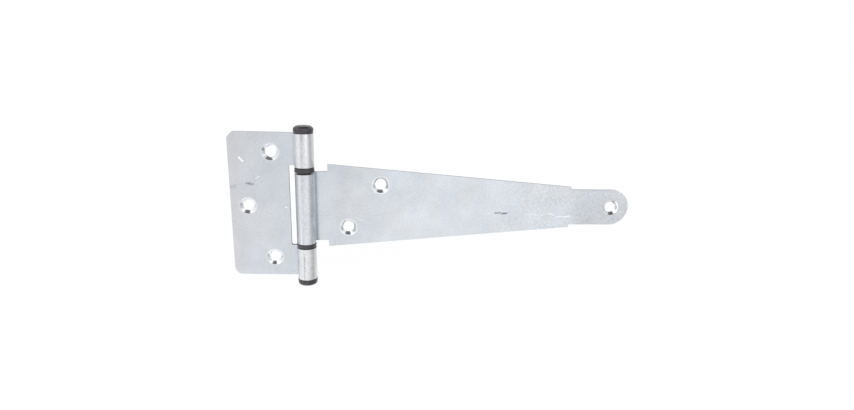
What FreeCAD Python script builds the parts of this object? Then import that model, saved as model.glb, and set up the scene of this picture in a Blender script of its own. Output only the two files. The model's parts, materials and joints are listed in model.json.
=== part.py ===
"""Tee hinge: a short frame leaf and a long tapered strap leaf that turn on one pin.

Both leaves are flat sheet whose ends are rolled into knuckles. Every knuckle is
lined with black plastic: flanged bushes in the strap's knuckle, and caps with
long closed sleeves in the frame leaf's two knuckles. The steel pin is trapped
between the closed ends of the caps.

Each piece is drawn around the pin: its own Z axis is the pin's axis, with zero
at mid height. X runs along the strap and -Y towards the viewer, who sees the
barrel and the countersinks. A Placement then moves every piece into the hinge's
frame, where the origin is on the back of the frame leaf, midway between its
upper and lower screw holes.
"""
import FreeCAD, Part
import math
import os

import Sketcher
from FreeCAD import Placement, Rotation, Vector

# Driving sizes in millimetres and degrees: name, value, meaning.
SIZES = [
    ("gauge", 2.0, "thickness of both steel leaves"),
    ("barrel_radius", 5.75, "outside radius of the rolled knuckles"),
    ("seam_gap", 0.4, "gap between the end of a rolled knuckle and its own leaf"),
    ("knuckle_bevel", 0.35, "bevel around the ends of the knuckles"),
    ("leaf_height", 88.8, "height of the frame leaf along the pin"),
    ("leaf_reach", 44.5, "pin axis to the outer edge of the frame leaf"),
    ("leaf_corner_cut", 3.8, "straight cut on the frame leaf's upper corner"),
    ("leaf_corner_round", 3.2, "round on the frame leaf's lower corner"),
    ("window_side_gap", 3.95, "barrel to the window's edge in the frame leaf"),
    ("window_corner", 1.0, "round in the window's inner corners"),
    ("knuckle_length", 42.5, "length of the strap's knuckle and height of its neck"),
    ("flange_height", 3.0, "thickness of the bush flanges between the knuckles"),
    ("face_gap", 0.05, "gap between faces that turn on each other or are pushed home"),
    ("end_play", 0.95, "room left above the strap's knuckle"),
    ("neck_reach", 12.85, "pin axis to the strap's shoulders"),
    ("neck_drop", 0.4, "middle of the neck below the strap's centre line"),
    ("shoulder_width", 51.1, "width of the strap at its shoulders"),
    ("taper_reach", 162.6, "pin axis to the end of the taper"),
    ("taper_end_width", 25.8, "width of the strap at the end of its taper"),
    ("tab_width", 22.4, "width of the parallel tab, rounded at its end"),
    ("strap_reach", 200.0, "pin axis to the strap's tip"),
    ("screw_clear", 6.4, "diameter of the screw holes"),
    ("screw_sink", 9.8, "diameter of the countersinks at the surface"),
    ("screw_sink_angle", 90.0, "included angle of the countersinks"),
    ("screw_line", 20.0, "pin axis to the line of the frame leaf's outer screws"),
    ("screw_spacing", 65.2, "upper to lower screw of the frame leaf"),
    ("screw_middle_edge", 10.1, "frame leaf's outer edge to its middle screw"),
    ("strap_screw_spread", 26.6, "upper to lower screw of the strap, across it"),
    ("strap_screw_near", 24.9, "pin axis to the strap's lower screw"),
    ("strap_screw_far", 44.4, "pin axis to the strap's upper screw"),
    ("pin_radius", 2.7, "radius of the steel pin"),
    ("pin_overrun", 1.6, "how far the pin stands out of the barrel into each cap"),
    ("pin_bevel", 0.4, "bevel on the pin's ends"),
    ("pin_running_gap", 0.05, "radial gap between the pin and the plastic around it"),
    ("liner_gap", 0.03, "radial gap between a plastic sleeve and its knuckle"),
    ("bush_length", 18.0, "length of a bush's sleeve below its flange"),
    ("flange_radius", 5.95, "widest radius of a bush flange"),
    ("flange_taper", 0.4, "how much narrower a flange is at the frame leaf's knuckle"),
    ("flange_bevel", 0.4, "bevel on the widest edge of a flange"),
    ("cap_radius", 5.9, "widest radius of both caps"),
    ("cap_seat_radius", 5.55, "radius of the upper cap where it meets its knuckle"),
    ("cap_swell", 2.0, "height over which the upper cap swells to its widest"),
    ("top_cap_height", 4.4, "height of the upper cap's head"),
    ("top_cap_round", 2.1, "round over the upper cap's rim"),
    ("cap_dish_radius", 2.4, "radius of the shallow dish in the upper cap"),
    ("cap_dish_depth", 0.3, "depth of that dish"),
    ("bottom_cap_height", 3.8, "height of the lower cap's head"),
    ("bottom_cap_taper", 0.35, "how much narrower the lower cap is at its foot"),
    ("bottom_cap_round", 2.2, "round under the lower cap's rim"),
    ("cap_edge_bevel", 0.3, "small bevel on the lower cap's upper edge"),
    ("liner_end_gap", 0.6, "cap sleeve's end to the knuckle's inner face"),
]

# Places worked out from the driving sizes, as FreeCAD expressions.
BORE_RADIUS = "(Sizes.barrel_radius - Sizes.gauge)"
PIN_BORE = "(Sizes.pin_radius + Sizes.pin_running_gap)"
LINER_RADIUS = f"({BORE_RADIUS} - Sizes.liner_gap)"
LEAF_TOP = "(Sizes.leaf_height / 2)"
WINDOW_TOP = ("((Sizes.knuckle_length + 2 * Sizes.flange_height + Sizes.end_play"
              " + 3 * Sizes.face_gap) / 2)")
WINDOW_EDGE = "(-Sizes.barrel_radius - Sizes.window_side_gap)"
UPPER_FLANGE_TOP = f"({WINDOW_TOP} - Sizes.face_gap)"
UPPER_FLANGE_FOOT = f"({UPPER_FLANGE_TOP} - Sizes.flange_height)"
LOWER_FLANGE_FOOT = f"(-{WINDOW_TOP} + Sizes.face_gap)"
LOWER_FLANGE_TOP = f"({LOWER_FLANGE_FOOT} + Sizes.flange_height)"
KNUCKLE_FOOT = f"({LOWER_FLANGE_TOP} + Sizes.face_gap)"
KNUCKLE_TOP = f"({KNUCKLE_FOOT} + Sizes.knuckle_length)"
STRAP_MIDDLE = f"(({KNUCKLE_FOOT} + {KNUCKLE_TOP}) / 2 + Sizes.neck_drop)"
TAB_RADIUS = "(Sizes.tab_width / 2)"
TAB_CENTRE = f"(Sizes.strap_reach - {TAB_RADIUS})"
CURL_ANGLE = f"270 + asin(({BORE_RADIUS} - Sizes.seam_gap) / Sizes.barrel_radius) / 1 deg"

doc = FreeCAD.newDocument("TeeHinge")


def write_sheet():
    """Put the driving sizes into a spreadsheet, one alias to a row."""
    sheet = doc.addObject("Spreadsheet::Sheet", "Sizes")
    for row, (name, value, meaning) in enumerate(SIZES, start=1):
        sheet.set(f"A{row}", name)
        sheet.set(f"B{row}", str(value))
        sheet.set(f"C{row}", meaning)
        sheet.setAlias(f"B{row}", name)
    doc.recompute()
    return sheet


sheet = write_sheet()


def value_of(expression):
    """The number that an expression gives with the sheet's present sizes."""
    return float(sheet.evalExpression(expression))


def new_body(label):
    """A body drawn around the pin and placed in the hinge's frame."""
    body = doc.addObject("PartDesign::Body", label)
    body.Label = label
    body.setExpression("Placement.Base.x", "Sizes.screw_line")
    body.setExpression("Placement.Base.y", "-Sizes.barrel_radius")
    return body


def new_sketch(body, name, plane, depth=None):
    """A sketch on one of the body's own planes, moved along its normal by depth."""
    sketch = body.newObject("Sketcher::SketchObject", name)
    planes = {item.Role: item for item in body.Origin.OriginFeatures}
    sketch.AttachmentSupport = [(planes[plane], "")]
    sketch.MapMode = "FlatFace"
    if depth:
        sketch.AttachmentOffset = Placement(Vector(0, 0, value_of(depth)), Rotation())
        sketch.setExpression("AttachmentOffset.Base.z", depth)
    return sketch


def pin_down(sketch, geometry, point, across, up):
    """Tie a point of the sketch to two expressions, measured from the origin."""
    for kind, expression in (("DistanceX", across), ("DistanceY", up)):
        if expression is None:
            continue
        number = sketch.addConstraint(
            Sketcher.Constraint(kind, -1, 1, geometry, point, value_of(expression)))
        sketch.setExpression(f"Constraints[{number}]", expression)


def draw_outline(sketch, corners, half_round_from=None):
    """Draw a closed outline whose corners are pairs of expressions.

    The side that starts at the corner half_round_from is a counter-clockwise half
    circle, and every other side is straight.
    """
    points = [Vector(value_of(across), value_of(up), 0) for across, up in corners]
    sides = []
    for corner, start, end in zip(corners, points, points[1:] + points[:1]):
        if corner == half_round_from:
            middle = (start + end) / 2
            turn = math.atan2(start.y - middle.y, start.x - middle.x)
            circle = Part.Circle(middle, Vector(0, 0, 1), middle.distanceToPoint(start))
            arc = Part.ArcOfCircle(circle, turn, turn + math.pi)
            side = sketch.addGeometry(arc, False)
            pin_down(sketch, side, 3, corner[0], None)
        else:
            side = sketch.addGeometry(Part.LineSegment(start, end), False)
        sides.append(side)
    for side, following in zip(sides, sides[1:] + sides[:1]):
        sketch.addConstraint(Sketcher.Constraint("Coincident", side, 2, following, 1))
    for side, (across, up) in zip(sides, corners):
        pin_down(sketch, side, 1, across, up)


def pad_forward(body, name, corners, half_round_from=None):
    """A plate of the leaves' thickness whose back is level with the barrel's back."""
    sketch = new_sketch(body, name + "Sketch", "XZ_Plane", "-Sizes.barrel_radius")
    draw_outline(sketch, corners, half_round_from)
    pad = body.newObject("PartDesign::Pad", name)
    pad.Profile = sketch
    pad.setExpression("Length", "Sizes.gauge")
    doc.recompute()
    return pad


def roll_knuckle(body, name, foot, top, clockwise):
    """Roll the sheet's end around the pin, from the back of the barrel onwards."""
    sketch = new_sketch(body, name + "Sketch", "YZ_Plane")
    bevel = "Sizes.knuckle_bevel"
    draw_outline(sketch, [
        (BORE_RADIUS, foot),
        (f"Sizes.barrel_radius - {bevel}", foot),
        ("Sizes.barrel_radius", f"{foot} + {bevel}"),
        ("Sizes.barrel_radius", f"{top} - {bevel}"),
        (f"Sizes.barrel_radius - {bevel}", top),
        (BORE_RADIUS, top),
    ])
    roll = body.newObject("PartDesign::Revolution", name)
    roll.Profile = sketch
    roll.ReferenceAxis = (sketch, ["V_Axis"])
    roll.setExpression("Angle", CURL_ANGLE)
    roll.Reversed = clockwise
    doc.recompute()
    return roll


def edges_at(feature, test):
    """Names of the feature's edges whose middle point passes a test."""
    names = []
    for number, edge in enumerate(feature.Shape.Edges, start=1):
        middle = edge.valueAt((edge.FirstParameter + edge.LastParameter) / 2)
        if test(edge, middle):
            names.append(f"Edge{number}")
    if not names:
        raise RuntimeError(f"no edge found on {feature.Label}")
    return names


def upright_edges(feature, across, up):
    """The edges through the sheet's thickness at one place on a leaf."""
    def on_corner(edge, middle):
        runs_through = abs(edge.tangentAt(edge.FirstParameter).y) > 0.999
        return (runs_through and abs(middle.x - value_of(across)) < 1e-3
                and abs(middle.z - value_of(up)) < 1e-3)
    return edges_at(feature, on_corner)


def circle_edges(feature, radius, up):
    """The edges of a turned piece at one radius and height."""
    def on_ring(edge, middle):
        ring = isinstance(edge.Curve, Part.Circle)
        return (ring and abs(edge.Curve.Radius - value_of(radius)) < 1e-3
                and abs(middle.z - value_of(up)) < 1e-3)
    return edges_at(feature, on_ring)


def dress_edges(body, kind, name, feature, edges, size):
    """Add a Fillet or a Chamfer of a named size to some edges of a feature."""
    dressed = body.newObject(f"PartDesign::{kind}", name)
    dressed.Base = (feature, edges)
    dressed.setExpression("Radius" if kind == "Fillet" else "Size", size)
    doc.recompute()
    return dressed


def sink_screws(body, centres):
    """Countersunk screw holes, drilled into the front of a leaf."""
    sketch = new_sketch(body, "ScrewSketch", "XZ_Plane", f"-{BORE_RADIUS}")
    for across, up in centres:
        centre = Vector(value_of(across), value_of(up), 0)
        radius = value_of("Sizes.screw_clear / 2")
        circle = sketch.addGeometry(Part.Circle(centre, Vector(0, 0, 1), radius), False)
        pin_down(sketch, circle, 3, across, up)
        number = sketch.addConstraint(Sketcher.Constraint("Radius", circle, radius))
        sketch.setExpression(f"Constraints[{number}]", "Sizes.screw_clear / 2")
    doc.recompute()
    before = body.Shape.Volume
    holes = body.newObject("PartDesign::Hole", "ScrewHoles")
    holes.Profile = sketch
    holes.ThreadType = "None"
    holes.HoleCutType = "Countersink"
    holes.HoleCutCustomValues = True
    holes.DepthType = "ThroughAll"
    holes.setExpression("Diameter", "Sizes.screw_clear")
    holes.setExpression("HoleCutDiameter", "Sizes.screw_sink")
    holes.setExpression("HoleCutCountersinkAngle", "Sizes.screw_sink_angle")
    doc.recompute()
    if body.Shape.Volume >= before:
        raise RuntimeError(f"the screw holes cut nothing from {body.Label}")


def turn_piece(body, name, corners):
    """A solid turned around the pin's axis from half of its section."""
    sketch = new_sketch(body, name + "Sketch", "XZ_Plane")
    draw_outline(sketch, corners)
    turned = body.newObject("PartDesign::Revolution", name)
    turned.Profile = sketch
    turned.ReferenceAxis = (sketch, ["V_Axis"])
    turned.Angle = 360
    doc.recompute()
    return turned


def make_frame_leaf():
    """The short leaf: a plate with a window, and a knuckle above and below it."""
    body = new_body("frame_leaf")
    plate = pad_forward(body, "Plate", [
        ("-Sizes.leaf_reach", f"-{LEAF_TOP}"),
        ("0", f"-{LEAF_TOP}"),
        ("0", f"-{WINDOW_TOP}"),
        (WINDOW_EDGE, f"-{WINDOW_TOP}"),
        (WINDOW_EDGE, WINDOW_TOP),
        ("0", WINDOW_TOP),
        ("0", LEAF_TOP),
        ("-Sizes.leaf_reach", LEAF_TOP),
    ])
    inner = upright_edges(plate, WINDOW_EDGE, WINDOW_TOP)
    inner += upright_edges(plate, WINDOW_EDGE, f"-{WINDOW_TOP}")
    rounded = dress_edges(body, "Fillet", "WindowCorners", plate, inner, "Sizes.window_corner")
    lower = upright_edges(rounded, "-Sizes.leaf_reach", f"-{LEAF_TOP}")
    rounded = dress_edges(body, "Fillet", "LowerCorner", rounded, lower,
                          "Sizes.leaf_corner_round")
    upper = upright_edges(rounded, "-Sizes.leaf_reach", LEAF_TOP)
    dress_edges(body, "Chamfer", "UpperCorner", rounded, upper, "Sizes.leaf_corner_cut")
    roll_knuckle(body, "UpperKnuckle", WINDOW_TOP, LEAF_TOP, True)
    roll_knuckle(body, "LowerKnuckle", f"-{LEAF_TOP}", f"-{WINDOW_TOP}", True)
    sink_screws(body, [
        ("-Sizes.screw_line", "Sizes.screw_spacing / 2"),
        ("-Sizes.screw_line", "-Sizes.screw_spacing / 2"),
        ("-Sizes.leaf_reach + Sizes.screw_middle_edge", "0"),
    ])
    return body


def make_strap_leaf():
    """The long leaf: a neck, a taper and a round-ended tab, with one knuckle."""
    body = new_body("strap_leaf")

    def off_centre(half_width):
        return f"{STRAP_MIDDLE} + {half_width}", f"{STRAP_MIDDLE} - {half_width}"

    shoulder_top, shoulder_foot = off_centre("Sizes.shoulder_width / 2")
    taper_top, taper_foot = off_centre("Sizes.taper_end_width / 2")
    tab_top, tab_foot = off_centre(TAB_RADIUS)
    tab_round_start = (TAB_CENTRE, tab_foot)
    pad_forward(body, "Strap", [
        ("0", KNUCKLE_FOOT),
        ("Sizes.neck_reach", KNUCKLE_FOOT),
        ("Sizes.neck_reach", shoulder_foot),
        ("Sizes.taper_reach", taper_foot),
        ("Sizes.taper_reach", tab_foot),
        tab_round_start,
        (TAB_CENTRE, tab_top),
        ("Sizes.taper_reach", tab_top),
        ("Sizes.taper_reach", taper_top),
        ("Sizes.neck_reach", shoulder_top),
        ("Sizes.neck_reach", KNUCKLE_TOP),
        ("0", KNUCKLE_TOP),
    ], tab_round_start)
    roll_knuckle(body, "StrapKnuckle", KNUCKLE_FOOT, KNUCKLE_TOP, False)
    spread_top, spread_foot = off_centre("Sizes.strap_screw_spread / 2")
    sink_screws(body, [
        ("Sizes.strap_screw_near", spread_foot),
        ("Sizes.strap_screw_far", spread_top),
        (TAB_CENTRE, STRAP_MIDDLE),
    ])
    return body


def make_pin():
    """The steel pin, bevelled at both ends."""
    body = new_body("hinge_pin")
    end = f"({LEAF_TOP} + Sizes.pin_overrun)"
    shaft = turn_piece(body, "Shaft", [
        ("0", f"-{end}"),
        ("Sizes.pin_radius", f"-{end}"),
        ("Sizes.pin_radius", end),
        ("0", end),
    ])
    rims = circle_edges(shaft, "Sizes.pin_radius", end)
    rims += circle_edges(shaft, "Sizes.pin_radius", f"-{end}")
    dress_edges(body, "Chamfer", "EndBevels", shaft, rims, "Sizes.pin_bevel")
    return body


def make_bush(label, knuckle_side, leaf_side, into_knuckle):
    """A flanged bush in the strap's knuckle.

    knuckle_side and leaf_side are the heights of the flange's two faces, and
    into_knuckle is the sign of the way from the flange into the strap's knuckle.
    """
    body = new_body(label)
    sleeve_end = f"({knuckle_side} {into_knuckle} Sizes.bush_length)"
    flange = turn_piece(body, "Bush", [
        (PIN_BORE, sleeve_end),
        (LINER_RADIUS, sleeve_end),
        (LINER_RADIUS, knuckle_side),
        ("Sizes.flange_radius", knuckle_side),
        ("Sizes.flange_radius - Sizes.flange_taper", leaf_side),
        (PIN_BORE, leaf_side),
    ])
    widest = circle_edges(flange, "Sizes.flange_radius", knuckle_side)
    dress_edges(body, "Chamfer", "FlangeEdge", flange, widest, "Sizes.flange_bevel")
    return body


def make_top_cap():
    """The upper cap: a domed head on a long sleeve with a closed end."""
    body = new_body("top_cap")
    seat = f"({LEAF_TOP} + Sizes.face_gap)"
    crown = f"({seat} + Sizes.top_cap_height)"
    sleeve_end = f"({WINDOW_TOP} + Sizes.liner_end_gap)"
    bore_end = f"({LEAF_TOP} + Sizes.pin_overrun + Sizes.face_gap)"
    head = turn_piece(body, "Cap", [
        ("Sizes.cap_radius", f"{seat} + Sizes.cap_swell"),
        ("Sizes.cap_radius", crown),
        ("Sizes.cap_dish_radius", crown),
        ("0", f"{crown} - Sizes.cap_dish_depth"),
        ("0", bore_end),
        (PIN_BORE, bore_end),
        (PIN_BORE, sleeve_end),
        (LINER_RADIUS, sleeve_end),
        (LINER_RADIUS, seat),
        ("Sizes.cap_seat_radius", seat),
    ])
    rim = circle_edges(head, "Sizes.cap_radius", crown)
    dress_edges(body, "Fillet", "Crown", head, rim, "Sizes.top_cap_round")
    return body


def make_bottom_cap():
    """The lower cap: a shallow tapered head on the same kind of sleeve."""
    body = new_body("bottom_cap")
    seat = f"(-{LEAF_TOP} - Sizes.face_gap)"
    foot = f"({seat} - Sizes.bottom_cap_height)"
    sleeve_end = f"(-{WINDOW_TOP} - Sizes.liner_end_gap)"
    bore_end = f"(-{LEAF_TOP} - Sizes.pin_overrun - Sizes.face_gap)"
    foot_radius = "Sizes.cap_radius - Sizes.bottom_cap_taper"
    head = turn_piece(body, "Cap", [
        ("0", foot),
        (foot_radius, foot),
        ("Sizes.cap_radius", seat),
        (LINER_RADIUS, seat),
        (LINER_RADIUS, sleeve_end),
        (PIN_BORE, sleeve_end),
        (PIN_BORE, bore_end),
        ("0", bore_end),
    ])
    foot_rim = circle_edges(head, foot_radius, foot)
    rounded = dress_edges(body, "Fillet", "Foot", head, foot_rim, "Sizes.bottom_cap_round")
    seat_rim = circle_edges(rounded, "Sizes.cap_radius", seat)
    dress_edges(body, "Chamfer", "SeatEdge", rounded, seat_rim, "Sizes.cap_edge_bevel")
    return body


def check_document():
    """Stop if any object of the document failed to build."""
    for item in doc.Objects:
        if "Invalid" in item.State or "Error" in item.State:
            raise RuntimeError(f"{item.Label}: {item.State}")


def write_parts(bodies):
    """Check every body and write it as a STEP file named after it."""
    os.makedirs("parts", exist_ok=True)
    for body in bodies:
        if not body.Shape.isValid() or len(body.Shape.Solids) != 1:
            raise RuntimeError(f"{body.Label} is not one valid solid")
        body.Shape.exportStep(f"parts/{body.Label}.step")


bodies = [
    make_frame_leaf(),
    make_strap_leaf(),
    make_pin(),
    make_bush("upper_bush", UPPER_FLANGE_FOOT, UPPER_FLANGE_TOP, "-"),
    make_bush("lower_bush", LOWER_FLANGE_TOP, LOWER_FLANGE_FOOT, "+"),
    make_top_cap(),
    make_bottom_cap(),
]
doc.recompute()
check_document()
write_parts(bodies)
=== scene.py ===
# %% [markdown]
# # A tee hinge from two rolled blanks
#
# A tee hinge joins a gate to a post: a short leaf is screwed to the post, and a long
# tapered strap to the gate. Both are flat sheet steel with one end rolled around the pin.
#
# The hinge's solids are packed already, and they say where everything is and what
# moves. This lesson dresses them. It starts by loading them as a frame that stays fixed.

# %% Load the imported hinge
import json
import math

import bmesh
import bpy
from mathutils import Matrix, Vector


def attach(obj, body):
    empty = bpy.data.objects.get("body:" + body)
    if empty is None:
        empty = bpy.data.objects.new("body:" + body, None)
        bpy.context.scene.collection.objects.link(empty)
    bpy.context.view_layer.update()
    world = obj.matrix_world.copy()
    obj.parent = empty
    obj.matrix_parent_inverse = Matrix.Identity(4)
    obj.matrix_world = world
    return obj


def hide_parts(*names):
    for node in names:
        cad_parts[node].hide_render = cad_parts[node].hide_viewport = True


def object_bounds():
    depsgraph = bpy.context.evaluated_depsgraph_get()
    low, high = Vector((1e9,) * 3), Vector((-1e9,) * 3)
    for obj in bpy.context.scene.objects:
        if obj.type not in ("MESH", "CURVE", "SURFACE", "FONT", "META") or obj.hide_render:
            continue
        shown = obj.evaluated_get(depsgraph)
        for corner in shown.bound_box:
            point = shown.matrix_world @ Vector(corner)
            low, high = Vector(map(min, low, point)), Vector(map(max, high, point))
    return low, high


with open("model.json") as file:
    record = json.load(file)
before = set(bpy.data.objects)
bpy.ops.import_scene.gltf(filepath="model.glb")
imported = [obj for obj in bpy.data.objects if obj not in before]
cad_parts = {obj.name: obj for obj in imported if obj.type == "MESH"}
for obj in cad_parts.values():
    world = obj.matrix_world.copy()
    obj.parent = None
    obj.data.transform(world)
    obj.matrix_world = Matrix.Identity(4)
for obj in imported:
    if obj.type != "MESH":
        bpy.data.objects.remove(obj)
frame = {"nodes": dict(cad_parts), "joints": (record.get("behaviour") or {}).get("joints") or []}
cad_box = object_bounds()

# %% [markdown]
# ## Sizes
#
# The scene is in metres. Outlines are written in millimetres, as on a drawing. Each
# piece is drawn around the pin, whose axis is the joint's own line: X runs along the
# strap, -Y towards the viewer and Z along the pin. A finished mesh is then moved to the
# hinge's frame, so its object stays at the origin.

# %% Sizes that both leaves share
MM = 0.001
GAUGE = 2.0 * MM
BARREL_RADIUS = 5.75 * MM
BORE_RADIUS = BARREL_RADIUS - GAUGE
SEAM_GAP = 0.4 * MM
PIN_LINE = Vector(frame["joints"][0]["pos_m"])
CURL_TURN = math.radians(270) + math.asin((BORE_RADIUS - SEAM_GAP) / BARREL_RADIUS)
NEUTRAL_RADIUS = BARREL_RADIUS - GAUGE / 2
CURL_LENGTH = CURL_TURN * NEUTRAL_RADIUS
print(f"each end rolls {math.degrees(CURL_TURN):.1f} degrees and takes "
      f"{CURL_LENGTH / MM:.1f} mm of sheet")

# %% [markdown]
# ## The camera
#
# The photograph's camera stands a little to the right of the pin and above it, and
# looks down. It has a wide view and a slight roll. The place and the turns were fitted
# to the hinge's straight edges, so they are numbers and not a helper's guess.


# %% Place the camera
def add_object(name, data):
    """A new object in the scene."""
    thing = bpy.data.objects.new(name, data)
    bpy.context.scene.collection.objects.link(thing)
    return thing


CAMERA_PLACE = Vector((0.06669, -0.32059, 0.08754))
LOOK_ALONG = Vector((0.07876, 0.96201, -0.26139)).normalized()
ROLL = math.radians(1.53)
LENS_MM, SENSOR_MM = 22.778, 36

level_right = LOOK_ALONG.cross(Vector((0, 0, 1))).normalized()
level_up = level_right.cross(LOOK_ALONG)
right = math.cos(ROLL) * level_right + math.sin(ROLL) * level_up
up = -math.sin(ROLL) * level_right + math.cos(ROLL) * level_up
turn = Matrix((right, up, -LOOK_ALONG)).transposed()

camera_data = bpy.data.cameras.new("studio_camera")
camera_data.sensor_width = SENSOR_MM
camera_data.lens = LENS_MM
camera_data.clip_start = 10 * MM
camera = add_object("studio_camera", camera_data)
camera.matrix_world = Matrix.Translation(CAMERA_PLACE) @ turn.to_4x4()
bpy.context.scene.camera = camera
bpy.context.scene.view_settings.view_transform = "Standard"
print("camera at", tuple(round(c / MM, 1) for c in CAMERA_PLACE), "mm")

# %% [markdown]
# ## Building node trees in a script
#
# Geometry and shader trees are built the same way: add a node, then feed each input a
# number or another node's output. A few small helpers keep the trees short to read.


# %% Helpers for node trees
def feed(tree, socket, value):
    """Give a node's input a number, or link another node's output to it."""
    if isinstance(value, bpy.types.NodeSocket):
        tree.links.new(value, socket)
    else:
        socket.default_value = value


def add_node(tree, kind, inputs=None, **settings):
    """Add a node, set its options, and feed its inputs by name or number."""
    node = tree.nodes.new(kind)
    for name, value in settings.items():
        setattr(node, name, value)
    for name, value in (inputs or {}).items():
        feed(tree, node.inputs[name], value)
    return node


def maths(tree, operation, *values):
    """One step of arithmetic on numbers."""
    return add_node(tree, "ShaderNodeMath", dict(enumerate(values)),
                    operation=operation).outputs[0]


def vector_maths(tree, operation, *values):
    """One step of arithmetic on vectors. Lengths and dot products are numbers."""
    node = add_node(tree, "ShaderNodeVectorMath", dict(enumerate(values)),
                    operation=operation)
    as_number = operation in ("LENGTH", "DISTANCE", "DOT_PRODUCT")
    return node.outputs["Value" if as_number else "Vector"]


def parts_of(tree, vector):
    """The X, Y and Z of a vector."""
    return add_node(tree, "ShaderNodeSeparateXYZ", {0: vector}).outputs


print("helpers for nodes and arithmetic ready")


# %% Helpers for mixing and fading
def scaled(tree, vector, factor):
    """A vector or a colour, times a number."""
    node = add_node(tree, "ShaderNodeVectorMath", {0: vector, "Scale": factor},
                    operation="SCALE")
    return node.outputs["Vector"]


def smooth_step(tree, value, start, end):
    """0 before start, 1 after end, and a smooth rise between them, in either order."""
    node = add_node(tree, "ShaderNodeMapRange",
                    {"Value": value, "From Min": start, "From Max": end},
                    interpolation_type="SMOOTHSTEP")
    return node.outputs["Result"]


def mix_colours(tree, share, first, second):
    """The first colour where share is 0, and the second where it is 1."""
    return add_node(tree, "ShaderNodeMix", {0: share, 6: first, 7: second},
                    data_type="RGBA").outputs[2]


def change_by(tree, value, share, change):
    """The value, grown by the change where share is 1 and left alone where it is 0."""
    return maths(tree, "MULTIPLY", value, maths(tree, "MULTIPLY_ADD", share, change, 1.0))


def noise(tree, place, scale, detail, **more):
    """Soft noise from 0 to 1. Scale is how many waves fit into a metre."""
    return add_node(tree, "ShaderNodeTexNoise", {
        "Vector": place, "Scale": scale, "Detail": detail, **more}).outputs["Fac"]


print("helpers for mixing and fading ready")

# %% [markdown]
# ## The studio
#
# Plated steel shows its surroundings more than its own colour. The streaks on the
# barrel are pale screens around the hinge with darker gaps between them, and the dark
# spot at the foot of every countersink is the unlit ceiling straight above.
#
# A world shader can hold such a room. Brightness follows the compass direction, once for
# what lies level with the hinge and once for what lies low, and a smooth step mixes the
# two. Three more bands follow the height: a brighter one above the screens, a bright
# sheet of paper under the hinge, and the dark ceiling, which leans a little to the
# right. The camera sees plain white.

# %% Stand pale screens around the hinge
world = bpy.data.worlds.new("studio_screens")
world.use_nodes = True
bpy.context.scene.world = world
tree = world.node_tree
tree.nodes.clear()

parts = parts_of(tree, add_node(tree, "ShaderNodeTexCoord").outputs["Generated"])
compass = maths(tree, "ARCTAN2", parts["X"], maths(tree, "MULTIPLY", parts["Y"], -1.0))
share_of_round = maths(tree, "MULTIPLY_ADD", compass, 0.5 / math.pi, 0.5)

# degrees to the right of the viewer's side, and brightness there: level, and low
SCREENS = [(-180, 0.74, 0.76), (-130, 0.60, 0.68), (-104, 0.70, 0.78), (-86, 0.78, 0.84),
           (-70, 0.88, 0.88), (-52, 1.00, 0.92), (-34, 0.84, 0.69), (-17, 0.70, 0.95),
           (-6, 0.75, 0.94), (6, 0.84, 0.81), (20, 0.96, 0.73), (37, 1.14, 0.62),
           (52, 0.88, 0.54), (66, 0.62, 0.49), (80, 0.50, 0.46), (94, 0.50, 0.58),
           (110, 0.64, 0.66), (130, 0.70, 0.74), (180, 0.74, 0.76)]
LOW_STARTS, LOW_FULL = -0.14, -0.42


def screen_ramp(column):
    """A colour ramp around the compass, from one column of SCREENS."""
    ramp = add_node(tree, "ShaderNodeValToRGB", {0: share_of_round})
    stops = ramp.color_ramp.elements
    while len(stops) < len(SCREENS):
        stops.new(0.5)
    for stop, row in zip(stops, SCREENS):
        stop.position = 0.5 + row[0] / 360
        stop.color = (*[row[column]] * 3, 1)
    return ramp.outputs["Color"]


low = smooth_step(tree, parts["Z"], LOW_STARTS, LOW_FULL)
screens = mix_colours(tree, low, screen_ramp(1), screen_ramp(2))
print(len(SCREENS), "screen stops around the hinge")

# %% Light the room by height, and show the camera plain white
SCREEN_STRENGTH = 1.2
# how far each band leans to the right, the sine of the height where it starts and is
# full, and by which share the room is brighter there
HEIGHT_BANDS = [("upper screens", 0.0, 0.20, 0.50, 0.38),
                ("paper below", 0.0, -0.28, -0.66, 0.22),
                ("ceiling", 0.06, 0.74, 0.90, -0.89)]
room_level = SCREEN_STRENGTH
for label, lean, start, full, change in HEIGHT_BANDS:
    height = maths(tree, "MULTIPLY_ADD", parts["X"], lean, parts["Z"])
    room_level = change_by(tree, room_level, smooth_step(tree, height, start, full), change)
room = add_node(tree, "ShaderNodeBackground", {"Color": screens, "Strength": room_level})
plain_white = add_node(tree, "ShaderNodeBackground", {"Color": (1, 1, 1, 1)})
seen = add_node(tree, "ShaderNodeLightPath").outputs["Is Camera Ray"]
chosen = add_node(tree, "ShaderNodeMixShader", {0: seen, 1: room.outputs[0],
                                                2: plain_white.outputs[0]})
add_node(tree, "ShaderNodeOutputWorld", {"Surface": chosen.outputs[0]})
print("bands of the room:", [band[0] for band in HEIGHT_BANDS])

# %% [markdown]
# The floor is a plain pale board at the hinge's lowest point. Its paint keeps the
# hinge's shadow, and a share of white light that only the camera sees lifts it to the
# white of the room. Reflections look through it at the pale screens, which go on below
# it, as if the hinge stood on glass: a white floor in every reflection would wash out
# the streaks of the barrel.


# %% Lay the floor
def new_material(name):
    """A material with an empty node tree. Gives both."""
    material = bpy.data.materials.new(name)
    material.use_nodes = True
    material.node_tree.nodes.clear()
    return material, material.node_tree


FLOOR_HALF = 4.0
FLOOR_GAP = 0.2 * MM
FLOOR_PAINT = (0.9, 0.9, 0.9, 1)
FLOOR_WHITE_SHARE = 0.85
FLOOR_WHITE_LEVEL = 1.06

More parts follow.
